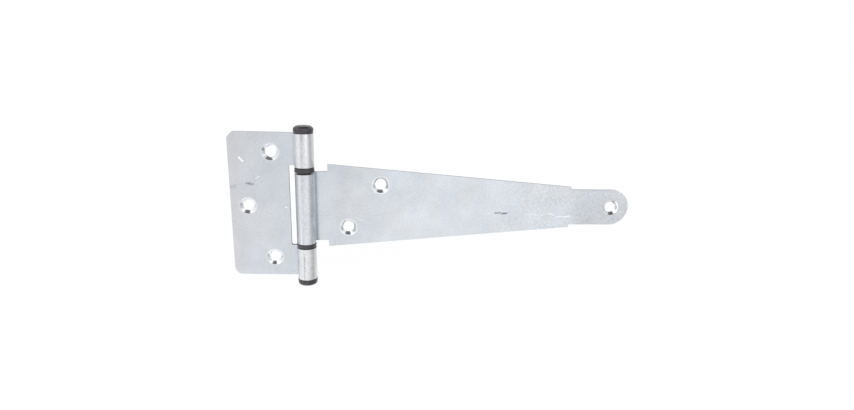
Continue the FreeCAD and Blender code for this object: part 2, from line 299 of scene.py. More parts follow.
floor_mesh = bpy.data.meshes.new("floor")
floor_height = cad_box[0].z - FLOOR_GAP
corners = [(-1, -1), (1, -1), (1, 1), (-1, 1)]
floor_mesh.from_pydata([(x * FLOOR_HALF, y * FLOOR_HALF, floor_height) for x, y in corners],
                       [], [(0, 1, 2, 3)])
floor = add_object("floor", floor_mesh)

floor_white, tree = new_material("floor_white")
paint = add_node(tree, "ShaderNodeBsdfDiffuse", {"Color": FLOOR_PAINT})
glow = add_node(tree, "ShaderNodeEmission", {"Strength": FLOOR_WHITE_LEVEL})
clear = add_node(tree, "ShaderNodeBsdfTransparent")
path = add_node(tree, "ShaderNodeLightPath").outputs
share = maths(tree, "MULTIPLY", path["Is Camera Ray"], FLOOR_WHITE_SHARE)
board = add_node(tree, "ShaderNodeMixShader",
                 {0: share, 1: paint.outputs[0], 2: glow.outputs[0]})
mixed = add_node(tree, "ShaderNodeMixShader",
                 {0: path["Is Glossy Ray"], 1: board.outputs[0], 2: clear.outputs[0]})
add_node(tree, "ShaderNodeOutputMaterial", {"Surface": mixed.outputs[0]})
floor.data.materials.append(floor_white)
print(f"floor at {floor_height / MM:.2f} mm")

# %% [markdown]
# ## Zinc plating
#
# Bright zinc is a thin plated layer with a faint blue tone. On flat sheet it is
# mottled: soft clouds some fifteen millimetres wide, cooler and warmer patches, and a
# fine grain under them. On the barrel the rolling tools have drawn it into streaks
# along the pin.
#
# All of it is noise on Object coordinates, which keep their size in metres. First
# comes the mask of one scratch, a node group, because scratches repeat.

# %% A node group for one scratch
FLOAT, VECTOR = "NodeSocketFloat", "NodeSocketVector"
RAGGED_SCALE, RAGGED_WIDTH = 1500.0, 0.5
LINE_CORE, LINE_EDGE = 0.25, 0.65
SPECK_EDGE, SPECK_FULL = 0.46, 0.56

tree = bpy.data.node_groups.new("scratch_mask", "ShaderNodeTree")
for label, kind in (("Point", VECTOR), ("Start", VECTOR), ("End", VECTOR),
                    ("Width", FLOAT), ("Breaks", FLOAT)):
    tree.interface.new_socket(label, in_out="INPUT", socket_type=kind)
tree.interface.new_socket("Mask", in_out="OUTPUT", socket_type=FLOAT)
given = add_node(tree, "NodeGroupInput").outputs
along = vector_maths(tree, "SUBTRACT", given["End"], given["Start"])
reach = vector_maths(tree, "SUBTRACT", given["Point"], given["Start"])
share = maths(tree, "DIVIDE", vector_maths(tree, "DOT_PRODUCT", reach, along),
              vector_maths(tree, "DOT_PRODUCT", along, along))
share = add_node(tree, "ShaderNodeClamp", {"Value": share}).outputs[0]
distance = vector_maths(tree, "DISTANCE", reach, scaled(tree, along, share))
inside = maths(tree, "DIVIDE", distance, given["Width"])
ragged = noise(tree, given["Point"], RAGGED_SCALE, 1.0)
wobble = maths(tree, "MULTIPLY_ADD", ragged, RAGGED_WIDTH, -RAGGED_WIDTH / 2)
inside = maths(tree, "ADD", inside, wobble)
line = smooth_step(tree, inside, LINE_EDGE, LINE_CORE)
gaps = smooth_step(tree, ragged, SPECK_FULL, SPECK_EDGE)
lost = maths(tree, "MULTIPLY", given["Breaks"], gaps)
add_node(tree, "NodeGroupOutput", {"Mask": change_by(tree, line, lost, -1.0)})
scratch_group = tree
print("scratch mask has", len(scratch_group.nodes), "nodes")

# %% [markdown]
# The wear is written as lines on the front of the leaves: where each starts and ends,
# in millimetres from the pin, how wide it is, how much lighter or darker it is than the
# plating, and how broken up it is. Most are bare bright metal. The dark ones are scuffs,
# broken into specks.

# %% Where the leaves are worn
FRAME_WEAR = [
    ((-38.0, 29.1), (-36.1, 27.0), 1.2, 0.66, 0),
    ((-29.0, 16.9), (-27.2, 17.9), 0.9, 0.34, 0.2),
    ((-12.2, -0.9), (-12.0, -0.9), 0.9, 0.50, 0),
    ((-43.9, 11.2), (-41.6, 11.9), 2.2, -0.15, 0.2),
    ((-41.6, 11.9), (-37.2, 13.9), 0.9, -0.05, 0.3),
    ((-9.2, -41.6), (-8.7, -42.0), 1.6, -0.09, 0),
    ((-34.8, 13.7), (-33.0, 13.8), 1.3, -0.48, 0.4),
    ((-32.9, 13.3), (-30.9, 13.2), 1.4, -0.48, 0.4),
    ((-1.00, -29.4), (-0.98, -38.6), 0.7, -0.40, 0.8),
    ((-0.16, 43.4), (-0.30, 40.6), 1.3, -0.22, 0.4),
]
STRAP_WEAR = [
    ((134.6, -4.9), (141.0, -5.1), 0.7, 0.20, 0.5),
    ((141.0, -5.1), (144.2, -5.6), 0.7, 0.20, 0.4),
    ((145.4, -5.2), (147.7, -4.5), 0.7, 0.18, 0.4),
    ((147.7, -4.5), (150.4, -4.3), 0.7, 0.20, 0.2),
    ((150.4, -4.3), (154.2, -6.1), 0.7, 0.20, 0.3),
    ((154.9, -6.1), (163.4, -6.3), 0.8, 0.24, 0.2),
    ((29.3, -7.2), (33.7, -9.2), 1.2, 0.09, 0.2),
    ((25.3, 2.6), (25.1, -3.4), 0.9, 0.06, 0.3),
    ((14.6, 4.0), (20.6, 3.2), 0.7, -0.08, 0.3),
    ((115.6, -3.9), (118.3, -3.8), 1.3, -0.70, 0.6),
    ((119.7, -4.3), (122.6, -4.1), 1.2, -0.78, 0.3),
]
print(len(FRAME_WEAR) + len(STRAP_WEAR), "worn places")

# %% [markdown]
# The plating is put together in steps. One step makes the zinc's colour. Each of the
# others takes the level so far, a number near 1 that the colour is scaled by, and makes
# it uneven in one more way. Places along a leaf are in millimetres from the pin.

# %% Where a point of the sheet lies
FRONT_DEPTH = -0.9 * GAUGE


def place_on_sheet(tree):
    """A point's place, whole and in parts, and whether it is on a leaf's front."""
    place = add_node(tree, "ShaderNodeTexCoord").outputs["Object"]
    parts = parts_of(tree, place)
    return {"place": place, "x": parts["X"], "y": parts["Y"], "z": parts["Z"],
            "on_front": maths(tree, "LESS_THAN", parts["Y"], FRONT_DEPTH)}


def along_leaf(tree, spot, start, end):
    """0 before one millimetre along the leaf and 1 past another."""
    return smooth_step(tree, spot["x"], PIN_LINE.x + start * MM, PIN_LINE.x + end * MM)


print(f"the front of a leaf lies past {FRONT_DEPTH / MM:.1f} mm")

# %% [markdown]
# Zinc isn't one grey. Its layer is thicker here and thinner there, and turns cooler or
# warmer by a few hundredths. Its crystals show as fine grain, and they grow coarser
# towards the strap's tab. Noise of three sizes makes both without a drawn texture.

# %% Cooler and warmer zinc
TONE_SCALE, TONE_STRETCH, TONE_SWIRL = 72.0, (1.0, 1.0, 0.6), 0.8
COOL_TONE, WARM_TONE = 0.32, 0.68
COOLER, WARMER = (0.980, 1.000, 1.022), (1.010, 1.006, 0.988)


def tinted_by(colour, factors):
    """A colour with each of its three parts times its own factor."""
    return (*[part * factor for part, factor in zip(colour, factors)], 1)


def zinc_colour(tree, spot, colour, drifts):
    """The zinc's colour: cool and warm patches, and slow drifts along the leaf."""
    stretched = vector_maths(tree, "MULTIPLY", spot["place"], TONE_STRETCH)
    patches = noise(tree, stretched, TONE_SCALE, 3.0, Distortion=TONE_SWIRL)
    tint = mix_colours(tree, smooth_step(tree, patches, COOL_TONE, WARM_TONE),
                       tinted_by(colour, COOLER), tinted_by(colour, WARMER))
    for start, end, factors in drifts:
        tint = mix_colours(tree, along_leaf(tree, spot, start, end), tint,
                           tinted_by(colour, factors))
    return tint


print("zinc is cooler by", COOLER, "or warmer by", WARMER)

# %% Fine grain and coarser crystals
GRAIN_SCALE, GRAIN_GAIN = 1100.0, 2.0
CRYSTAL_SCALE, CRYSTAL_DEPTH = 480.0, 0.26


def add_grain(tree, spot, level, grains, grain, coarse):
    """Speckle the level with grain, and with crystals where the zinc grows coarser."""
    if coarse:
        start, end, gain = coarse
        grown = along_leaf(tree, spot, start, end)
        grain = maths(tree, "MULTIPLY_ADD", grown, gain, grain)
        crystals = maths(tree, "SUBTRACT",
                         noise(tree, spot["place"], CRYSTAL_SCALE, 2.0), 0.5)
        crystals = maths(tree, "MULTIPLY", crystals, grown)
        level = maths(tree, "MULTIPLY_ADD", crystals, CRYSTAL_DEPTH, level)
    speckle = maths(tree, "MULTIPLY", maths(tree, "SUBTRACT", grains, 0.5), grain)
    return maths(tree, "MULTIPLY_ADD", speckle, GRAIN_GAIN, level)


print(f"grains are about {1 / GRAIN_SCALE / MM:.1f} mm, crystals "
      f"{1 / CRYSTAL_SCALE / MM:.1f} mm")

# %% [markdown]
# A ring of painted shade darkens the cone of a countersink near its foot, most where
# the cone's face looks down. The shader finds that side by the surface's own normal.

# %% Painted shade at the foot of a countersink
FOOT_STARTS, FOOT_ENDS = (-1.55 * MM, -1.25 * MM), (-0.85 * MM, -0.55 * MM)
LOWER_SIDE, UPPER_SIDE = 0.45, 0.10
UPPER_SHARE = 0.75


def paint_foot_shade(tree, spot, level, strength):
    """Paint shade in a ring near the narrow end of a countersink's cone, most on its upper side.
    """
    ring = maths(tree, "SUBTRACT", smooth_step(tree, spot["y"], *FOOT_STARTS),
                 smooth_step(tree, spot["y"], *FOOT_ENDS))
    normal = add_node(tree, "ShaderNodeNewGeometry").outputs["Normal"]
    on_upper = smooth_step(tree, parts_of(tree, normal)["Z"], LOWER_SIDE, UPPER_SIDE)
    change = maths(tree, "MULTIPLY_ADD", on_upper, -UPPER_SHARE * strength,
                   (UPPER_SHARE - 1) * strength)
    return change_by(tree, level, ring, change)


print(f"the dull ring is {(FOOT_ENDS[1] - FOOT_STARTS[0]) / MM:.1f} mm wide")

# %% [markdown]
# The barrel's streaks are two noises, one drawn out twenty times along the pin and one
# less, and the drawn zinc is smoother and has a colour of its own. In front, where the
# flat sheet meets the barrel, lies a narrow crevice, and painted shade makes the sheet
# darker and bluer there.

# %% Streaks on the barrel, and painted shade in the crevice beside it
BARREL_EDGE = (BARREL_RADIUS + 0.9 * MM, BARREL_RADIUS + 0.1 * MM)
STREAK_SCALE, STREAK_SQUEEZE = 640.0, (1.0, 1.0, 0.05)
STREAK_DEPTH, STREAK_BASE = 0.36, -0.13
PIT_SCALE, PIT_SQUEEZE, PIT_DEPTH = 1250.0, (1.0, 1.0, 0.4), 0.34
CREVICE_EDGE = (8.5 * MM, 7.0 * MM)
CREVICE_SHADE_TINT = (0.93, 1.00, 1.07)
DRAWN_SHARE = 0.7


def streak_level(tree, spot):
    """How much lighter or darker the drawn streaks and pits of the barrel are."""
    streaks = noise(tree, vector_maths(tree, "MULTIPLY", spot["place"], STREAK_SQUEEZE),
                    STREAK_SCALE, 3.0)
    streaks = maths(tree, "MULTIPLY_ADD", streaks, STREAK_DEPTH, STREAK_BASE)
    pits = noise(tree, vector_maths(tree, "MULTIPLY", spot["place"], PIT_SQUEEZE),
                 PIT_SCALE, 2.0)
    pits = maths(tree, "SUBTRACT", pits, 0.5)
    return maths(tree, "MULTIPLY_ADD", pits, PIT_DEPTH, streaks)


def dress_barrel(tree, spot, level, tint, colour, drawn_colour, crevice_shade):
    """Streak the barrel and paint shade beside it. Gives the level, tint and barrel mask."""
    from_pin = add_node(tree, "ShaderNodeCombineXYZ", {
        0: maths(tree, "SUBTRACT", spot["x"], PIN_LINE.x),
        1: maths(tree, "SUBTRACT", spot["y"], PIN_LINE.y)})
    radius = vector_maths(tree, "LENGTH", from_pin.outputs[0])
    on_barrel = smooth_step(tree, radius, *BARREL_EDGE)
    level = maths(tree, "MULTIPLY_ADD", on_barrel, streak_level(tree, spot), level)
    # painted shade: the front next to the barrel is made darker and bluer
    beside = smooth_step(tree, radius, *CREVICE_EDGE)
    beside = change_by(tree, beside, on_barrel, -1.0)
    beside = maths(tree, "MULTIPLY", beside, spot["on_front"])
    level = change_by(tree, level, beside, -crevice_shade)
    tint = mix_colours(tree, beside, tint, tinted_by(colour, CREVICE_SHADE_TINT))
    drawn = maths(tree, "MULTIPLY", on_barrel, DRAWN_SHARE)
    return level, mix_colours(tree, drawn, tint, (*drawn_colour, 1)), on_barrel


print("streaks are drawn out", round(1 / STREAK_SQUEEZE[2]), "times along the pin")

# %% [markdown]
# Two things are on the front alone: a narrow painted highlight around the screw holes,
# with its own strength above and below each hole, and the leaves' wear. A screw's place
# is given as how far it is from the pin's axis and how high, in millimetres.

# %% Painted highlights around the screw holes, and worn lines on the front
FRAME_SCREWS = [(-20, 32.6), (-20, -32.6), (-34.4, 0)]
STRAP_SCREWS = [(24.9, -13.35), (44.4, 13.25), (188.8, -0.05)]
RIM_EDGE = (5.8 * MM, 5.3 * MM)
RIM_BELOW = 3.0 * MM


def on_sheet(x, z):
    """A place on the front, in millimetres from the pin, without its depth."""
    return (PIN_LINE.x + x * MM, 0, z * MM)


def mark_front(tree, spot, plating, highlight_rims, rim_highlight_gains, wear):
    """Paint a highlight around each screw hole, more or less below a screw than above, and draw
    the wear.
    """
    flat_place = vector_maths(tree, "MULTIPLY", spot["place"], (1.0, 0.0, 1.0))
    gain_above, gain_below = rim_highlight_gains
    # a painted highlight around each screw hole
    for x, z in highlight_rims:
        away = vector_maths(tree, "DISTANCE", flat_place, on_sheet(x, z))
        rim_highlight = maths(tree, "MULTIPLY", spot["on_front"], smooth_step(tree, away, *RIM_EDGE))
        below = smooth_step(tree, spot["z"], z * MM, z * MM - RIM_BELOW)
        gain = maths(tree, "MULTIPLY_ADD", below, gain_below - gain_above, gain_above)
        plating = scaled(tree, plating, maths(tree, "MULTIPLY_ADD", rim_highlight, gain, 1.0))
    for start, end, width, strength, breaks in wear:
        line = add_node(tree, "ShaderNodeGroup", node_tree=scratch_group)
        for label, value in zip(("Point", "Start", "End", "Width", "Breaks"),
                                (flat_place, on_sheet(*start), on_sheet(*end),
                                 width * MM, float(breaks))):
            feed(tree, line.inputs[label], value)
        worn = maths(tree, "MULTIPLY", line.outputs[0], spot["on_front"])
        plating = scaled(tree, plating, maths(tree, "MULTIPLY_ADD", worn, strength, 1.0))
    return plating


print(len(FRAME_SCREWS) + len(STRAP_SCREWS), "screw holes")


# %% The plating as a material
def finish_surface(tree, heights, strength, depth, inputs):
    """Shade with these inputs and a small bump that follows the heights."""
    bump = add_node(tree, "ShaderNodeBump", {
        "Height": heights, "Strength": strength, "Distance": depth})
    surface = add_node(tree, "ShaderNodeBsdfPrincipled",
                       {**inputs, "Normal": bump.outputs["Normal"]})
    add_node(tree, "ShaderNodeOutputMaterial", {"Surface": surface.outputs[0]})


CLOUD_SCALE, CLOUD_ROUGHNESS, CLOUD_DEPTH = 62.0, 0.6, 0.30
ROUGHNESS_SPREAD = 0.16
DRAWN_SHINE = -0.14
GRAIN_BUMP, GRAIN_HEIGHT = 0.12, 0.02 * MM


def zinc_plating(name, colour, roughness, wear=(), painted_shading=(), crevice_shade=0.0, grain=0.14,
                 barrel=None, coarse=None, foot_shade=0.0, drifts=(), highlight_rims=(),
                 rim_highlight_gains=(0.0, 0.0)):
    """Bright zinc plating: clouds, grain, streaks on the barrel, and worn lines.

    dull lists from and to which millimetre of the leaf the plating is painted lighter or
    darker, as painted light and shade, and by which share, drifts the same with the factors
    of its colour, and coarse is where the crystals grow and how much grain they add. barrel
    is the colour of the drawn knuckles, crevice how much painted shade darkens the narrow
    gap beside them, and foot how much painted shade darkens the narrow end of a
    countersink's cone. rims lists the screws with a painted highlight around them, and
    rim_highlight_gains how bright it is above and below each.
    """
    material, tree = new_material(name)
    spot = place_on_sheet(tree)

    clouds = noise(tree, spot["place"], CLOUD_SCALE, 5.0, Roughness=CLOUD_ROUGHNESS)
    grains = noise(tree, spot["place"], GRAIN_SCALE, 2.0)
    tint = zinc_colour(tree, spot, colour, drifts)
    level = maths(tree, "MULTIPLY_ADD", clouds, CLOUD_DEPTH, 1 - CLOUD_DEPTH / 2)
    level = add_grain(tree, spot, level, grains, grain, coarse)
    rough = maths(tree, "MULTIPLY_ADD", clouds, ROUGHNESS_SPREAD,
                  roughness - ROUGHNESS_SPREAD / 2)
    # painted shade in a ring near the narrow end of a countersink's cone
    if foot_shade:
        level = paint_foot_shade(tree, spot, level, foot_shade)
    if barrel:
        level, tint, on_barrel = dress_barrel(tree, spot, level, tint, colour, barrel,
                                              crevice_shade)
        rough = maths(tree, "MULTIPLY_ADD", on_barrel, DRAWN_SHINE, rough)
    # painted light and shade: the level is made lighter or darker in bands along the leaf
    for start, end, change in painted_shading:
        level = change_by(tree, level, along_leaf(tree, spot, start, end), change)
    plating = mark_front(tree, spot, scaled(tree, tint, level), highlight_rims, rim_highlight_gains, wear)
    finish_surface(tree, grains, GRAIN_BUMP, GRAIN_HEIGHT, {
        "Base Color": plating, "Metallic": 1.0, "Roughness": rough})
    return material


print(f"clouds are about {1 / CLOUD_SCALE / MM:.0f} mm wide")

# %% [markdown]
# The leaves share one plating with settings of their own: the short leaf turns warmer
# outwards, and the strap coarser towards its tab. Countersinks are cut smooth and
# bright, apart from the tab's, which is darker with painted shade and has no painted
# highlight. Sheared edges are dark, partly the cut steel's own colour and partly painted
# shade.

# %% Mix the zinc of each leaf
frame_zinc = zinc_plating(
    "short_leaf_zinc", (0.648, 0.668, 0.706), 0.36, FRAME_WEAR,
    crevice_shade=0.10, barrel=(0.712, 0.714, 0.720),
    drifts=[(-24, -48, (1.020, 1.003, 0.980)), (-22, -10, (0.982, 1.000, 1.018))],
    highlight_rims=FRAME_SCREWS, rim_highlight_gains=(0.12, 0.10))
# the strap's bands are painted light and shade; the last darkens the left side of its knuckle
strap_zinc = zinc_plating(
    "strap_zinc", (0.668, 0.695, 0.733), 0.36, STRAP_WEAR,
    [(15, 22, -0.03), (24, 62, 0.10), (108, 150, -0.03), (155, 172, -0.12),
     (-2.6, -4.6, -0.22)],
    crevice_shade=0.30, barrel=(0.635, 0.652, 0.680), coarse=(95, 150, 0.14),
    highlight_rims=STRAP_SCREWS[:2], rim_highlight_gains=(0.17, 0.34))
frame_sink = zinc_plating("short_leaf_countersink", (0.88, 0.89, 0.91), 0.14,
                          grain=0.04, foot_shade=0.06)
# painted shade darkens the tab's countersink
strap_sink = zinc_plating("strap_countersink", (0.95, 0.96, 0.97), 0.14,
                          painted_shading=[(60, 150, -0.14)], grain=0.04, foot_shade=0.45)
# sheared faces: partly the cut steel's own darker colour, partly painted shade; the window's
# darkest zinc is painted shade
cut_edge_zinc_and_shade = zinc_plating("sheared_edge_zinc_and_shade", (0.40, 0.41, 0.44), 0.34)
window_shade_zinc = zinc_plating("window_edge_shade_zinc", (0.15, 0.15, 0.16), 0.40)
print("materials:", [m.name for m in (frame_zinc, strap_zinc, frame_sink, strap_sink,
                                      cut_edge_zinc_and_shade, window_shade_zinc)])

# %% [markdown]
# ## Rolling a sheet around the pin
#
# A leaf begins as a flat blank, as at the press: its outline, and a tongue where the
# knuckle will be. The tongue is cut into narrow strips so that it can bend.
#
# The rolling is a rule, so Geometry Nodes do it. The tree gives the blank its
# thickness, and its sheared edges a darker zinc: partly the cut steel's own colour,
# partly painted shade where the edges face narrow gaps, and the darkest painted shade in
# the narrow window beside the barrel. Then it bends whatever lies beyond the pin's line.
# A point's distance from the pin's axis doesn't change as the sheet wraps, and its
# distance along the sheet becomes an angle: arc length divided by the radius of the
# sheet's middle layer.


# %% Round the corners of an outline
def round_corner(before, corner, after, radius, steps=8):
    """Points along an arc that rounds one corner of an outline."""
    corner, before, after = Vector(corner), Vector(before), Vector(after)
    to_before, to_after = (before - corner).normalized(), (after - corner).normalized()
    half = to_before.angle(to_after) / 2
    centre = corner + (to_before + to_after).normalized() * radius / math.sin(half)
    first = corner + to_before * radius / math.tan(half) - centre
    last = corner + to_after * radius / math.tan(half) - centre
    sweep = first.angle_signed(last)
    return [tuple(centre + Matrix.Rotation(-sweep * step / steps, 2) @ first)
            for step in range(steps + 1)]


print("an arc has", len(round_corner((1, 0), (0, 0), (0, 1), 0.2)), "points")

# %% Draw a flat blank
TONGUE_STRIPS = 72
WELD = 0.001 * MM


def flat_blank(name, outline, tongues, side):
    """A flat sheet at the back of the barrel, facing the viewer.

    outline holds (x, z) in millimetres, anticlockwise. Each tongue is its lower and
    upper height, and side is 1 where the tongues lie at positive x, -1 at negative x.
    """
    shape = bmesh.new()

    def corner(x, z):
        return shape.verts.new((x, BARREL_RADIUS, z))

    shape.faces.new([corner(x * MM, z * MM) for x, z in outline])
    for low, high in tongues:
        for index in range(TONGUE_STRIPS):
            start, end = sorted(side * CURL_LENGTH * i / TONGUE_STRIPS
                                for i in (index, index + 1))
            shape.faces.new([corner(start, low * MM), corner(end, low * MM),
                             corner(end, high * MM), corner(start, high * MM)])
    bmesh.ops.remove_doubles(shape, verts=shape.verts, dist=WELD)
    mesh = bpy.data.meshes.new(name)
    shape.to_mesh(mesh)
    shape.free()
    return add_object(name, mesh)


print("tongues are cut into", TONGUE_STRIPS, "strips")

# %% Start a geometry tree with named inputs
MATERIAL, GEOMETRY = "NodeSocketMaterial", "NodeSocketGeometry"


def new_geometry_tree(name, inputs):
    """An empty Geometry Nodes tree with named inputs. Returns the tree and them."""
    tree = bpy.data.node_groups.new(name, "GeometryNodeTree")
    for label, kind in [("Geometry", GEOMETRY), *inputs]:
        tree.interface.new_socket(label, in_out="INPUT", socket_type=kind)
    tree.interface.new_socket("Geometry", in_out="OUTPUT", socket_type=GEOMETRY)
    return tree, add_node(tree, "NodeGroupInput").outputs


def add_tree(piece, tree, values):
    """Put a tree on a piece as a modifier, and set its inputs by their identifiers."""
    modifier = piece.modifiers.new(tree.name, "NODES")
    modifier.node_group = tree
    for item in tree.interface.items_tree:
        if item.in_out == "INPUT" and item.name in values:
            modifier[item.identifier] = values[item.name]


def coat(tree, geometry, material, faces=True):
    """Give the chosen faces of a mesh a material."""
    return add_node(tree, "GeometryNodeSetMaterial", {
        "Geometry": geometry, "Selection": faces, "Material": material}).outputs[0]


print("geometry trees take numbers, vectors and materials")

# %% Tree 1: thicken the blank and darken its sheared edges
tree, given = new_geometry_tree("roll_around_pin", [
    ("Thickness", FLOAT), ("Middle radius", FLOAT), ("Side", FLOAT),
    ("Window reach", FLOAT), ("Window half height", FLOAT),
    ("Sheet material", MATERIAL), ("Edge material", MATERIAL),
    ("Window shade material", MATERIAL)])
forward = add_node(tree, "ShaderNodeCombineXYZ",
                   {1: maths(tree, "MULTIPLY", given["Thickness"], -1.0)})
front = add_node(tree, "GeometryNodeExtrudeMesh", {
    "Mesh": given["Geometry"], "Offset": forward.outputs[0],
    "Offset Scale": 1.0, "Individual": False})
back = add_node(tree, "GeometryNodeFlipFaces", {"Mesh": given["Geometry"]})
both = add_node(tree, "GeometryNodeJoinGeometry")
for layer in (front, back):
    tree.links.new(layer.outputs["Mesh"], both.inputs[0])
welded = add_node(tree, "GeometryNodeMergeByDistance",
                  {"Geometry": both.outputs[0], "Distance": WELD})
sheet = coat(tree, welded.outputs[0], given["Sheet material"])
facing = parts_of(tree, add_node(tree, "GeometryNodeInputNormal").outputs[0])
is_cut = maths(tree, "LESS_THAN", maths(tree, "ABSOLUTE", facing["Y"]), 0.5)
# sheared faces take a darker zinc, partly their own colour and partly painted shade
sheet = coat(tree, sheet, given["Edge material"], is_cut)
print("the thickening has", len(tree.nodes), "nodes")

# %% Tree 1: mark the window's edges and roll the tongue
flat = parts_of(tree, add_node(tree, "GeometryNodeInputPosition").outputs[0])
past_pin = maths(tree, "MULTIPLY", flat["X"], given["Side"])
in_reach = maths(tree, "GREATER_THAN", past_pin,
                 maths(tree, "MULTIPLY", given["Window reach"], -1.0))
in_height = maths(tree, "LESS_THAN", maths(tree, "ABSOLUTE", flat["Z"]),
                  given["Window half height"])
in_window = maths(tree, "MULTIPLY", is_cut, maths(tree, "MULTIPLY", in_reach, in_height))
# painted shade: the window's sheared edges take the darkest zinc
sheet = coat(tree, sheet, given["Window shade material"], in_window)

angle = maths(tree, "DIVIDE", maths(tree, "MAXIMUM", past_pin, 0.0), given["Middle radius"])
still_flat = maths(tree, "MINIMUM", past_pin, 0.0)
across = maths(tree, "MULTIPLY_ADD", maths(tree, "SINE", angle), flat["Y"], still_flat)
rolled = add_node(tree, "ShaderNodeCombineXYZ", {
    0: maths(tree, "MULTIPLY", across, given["Side"]),
    1: maths(tree, "MULTIPLY", maths(tree, "COSINE", angle), flat["Y"]),
    2: flat["Z"]})
moved = add_node(tree, "GeometryNodeSetPosition",
                 {"Geometry": sheet, "Position": rolled.outputs[0]})
add_node(tree, "NodeGroupOutput", {0: moved.outputs[0]})
roll_tree = tree
print("rolling tree has", len(tree.nodes), "nodes")

# %% [markdown]
# ## Countersunk screw holes
#
# Each leaf has three screw holes, all alike: a cone that takes the screw's head, and a
# short straight bore behind it. They repeat, so a second tree places one drill and one
# cone at three points and cuts them out. The tree also gives the cut faces their own
# smoother zinc, and writes how strongly each sharp edge is to be rounded later.

# %% Sizes of the screw holes
CLEAR_RADIUS = 3.2 * MM
SINK_RADIUS = 4.9 * MM
FRONT = BORE_RADIUS
CONE_OVERLAP = 0.05 * MM
CONE_RISE = 0.5 * MM
CONE_LENGTH = SINK_RADIUS - CLEAR_RADIUS + CONE_OVERLAP + CONE_RISE
HOLE_SIDES = 72
print(f"straight bore: {(GAUGE - (SINK_RADIUS - CLEAR_RADIUS)) / MM:.2f} mm")

# %% Tree 2: place the holes
tree, given = new_geometry_tree("countersunk_holes", [
    ("Hole 1", VECTOR), ("Hole 2", VECTOR), ("Hole 3", VECTOR), ("Pin place", VECTOR),
    ("Hole material", MATERIAL)])
points = add_node(tree, "GeometryNodeJoinGeometry")
place = add_node(tree, "GeometryNodeInputPosition").outputs[0]
across_sheet = vector_maths(tree, "MULTIPLY", place, (1, 0, 1))
nearest_hole = 1.0
for label in ("Hole 1", "Hole 2", "Hole 3"):
    point = add_node(tree, "GeometryNodePoints", {"Position": given[label]})
    tree.links.new(point.outputs[0], points.inputs[0])
    distance = vector_maths(tree, "DISTANCE", across_sheet, given[label])
    nearest_hole = maths(tree, "MINIMUM", distance, nearest_hole)
print("a leaf has", len(points.inputs[0].links), "holes")


# %% Tree 2: drill and countersink
def cut_out(mesh, cutter, height):
    """Cut a copy of the cutter, turned to face the viewer, out at every hole.

    A face that a boolean cuts takes the cutter's material, so the cutter wears the
    material of the holes.
    """
    turned = add_node(tree, "GeometryNodeTransform", {
        "Geometry": cutter, "Rotation": (math.pi / 2, 0, 0), "Translation": (0, height, 0)})
    placed = add_node(tree, "GeometryNodeInstanceOnPoints",
                      {"Points": points.outputs[0], "Instance": turned.outputs[0]})
    real = add_node(tree, "GeometryNodeRealizeInstances", {0: placed.outputs[0]})
    coated = coat(tree, real.outputs[0], given["Hole material"])
    node = add_node(tree, "GeometryNodeMeshBoolean", {"Mesh 1": mesh},
                    operation="DIFFERENCE", solver="EXACT")
    tree.links.new(coated, node.inputs["Mesh 2"])
    return node.outputs["Mesh"]


drill = add_node(tree, "GeometryNodeMeshCylinder", {
    "Vertices": HOLE_SIDES, "Radius": CLEAR_RADIUS, "Depth": 3 * GAUGE})
cone = add_node(tree, "GeometryNodeMeshCone", {
    "Vertices": HOLE_SIDES, "Radius Bottom": CLEAR_RADIUS - CONE_OVERLAP,
    "Radius Top": SINK_RADIUS + CONE_RISE, "Depth": CONE_LENGTH})
mesh = cut_out(given["Geometry"], drill.outputs["Mesh"], (FRONT + BARREL_RADIUS) / 2)
mesh = cut_out(mesh, cone.outputs["Mesh"], FRONT + CONE_LENGTH - CONE_RISE)
print(f"the cone is cut {CONE_LENGTH / MM:.2f} mm long")

# %% Tree 2: mark how much each sharp edge is rounded
SHARP = math.radians(30)
EDGE_ROUND = 0.45 * MM
SHEET_WEIGHT, KNUCKLE_MORE, HOLE_LESS, RIM_MORE = 0.4, 0.6, -0.15, 0.55
HOLE_MARGIN, KNUCKLE_MARGIN = 0.05 * MM, 0.1 * MM

bend = add_node(tree, "GeometryNodeInputMeshEdgeAngle").outputs["Unsigned Angle"]
is_sharp = maths(tree, "GREATER_THAN", bend, SHARP)
near_hole = maths(tree, "LESS_THAN", nearest_hole, SINK_RADIUS + HOLE_MARGIN)
from_pin = vector_maths(tree, "LENGTH", vector_maths(tree, "MULTIPLY", place, (1, 1, 0)))
on_knuckle = maths(tree, "LESS_THAN", from_pin, BARREL_RADIUS + KNUCKLE_MARGIN)
on_face = maths(tree, "LESS_THAN", parts_of(tree, place)["Y"], FRONT + HOLE_MARGIN)
on_rim = maths(tree, "MULTIPLY", near_hole, on_face)

weight = maths(tree, "MULTIPLY_ADD", on_knuckle, KNUCKLE_MORE, SHEET_WEIGHT)
weight = maths(tree, "MULTIPLY_ADD", near_hole, HOLE_LESS, weight)
weight = maths(tree, "MULTIPLY_ADD", on_rim, RIM_MORE, weight)
weight = maths(tree, "MULTIPLY", weight, is_sharp)
marked = add_node(tree, "GeometryNodeStoreNamedAttribute", {
    "Geometry": mesh, "Name": "bevel_weight_edge", "Value": weight},
    data_type="FLOAT", domain="EDGE")
in_place = add_node(tree, "GeometryNodeTransform",
                    {"Geometry": marked.outputs[0], "Translation": given["Pin place"]})
whole = add_node(tree, "GeometryNodeRealizeInstances", {0: in_place.outputs[0]})
add_node(tree, "NodeGroupOutput", {0: whole.outputs[0]})
hole_tree = tree
print("hole tree has", len(tree.nodes), "nodes")

# %% [markdown]
# ## From blank to leaf
#
# The evaluated object is turned into a plain mesh, which carries no trees any more. A
# Bevel modifier then rounds the sheet's edges by the weights that the tree wrote: most
# at the knuckles' ends and at the rims of the countersinks, which catch the light in a
# bright line, and least inside the holes.


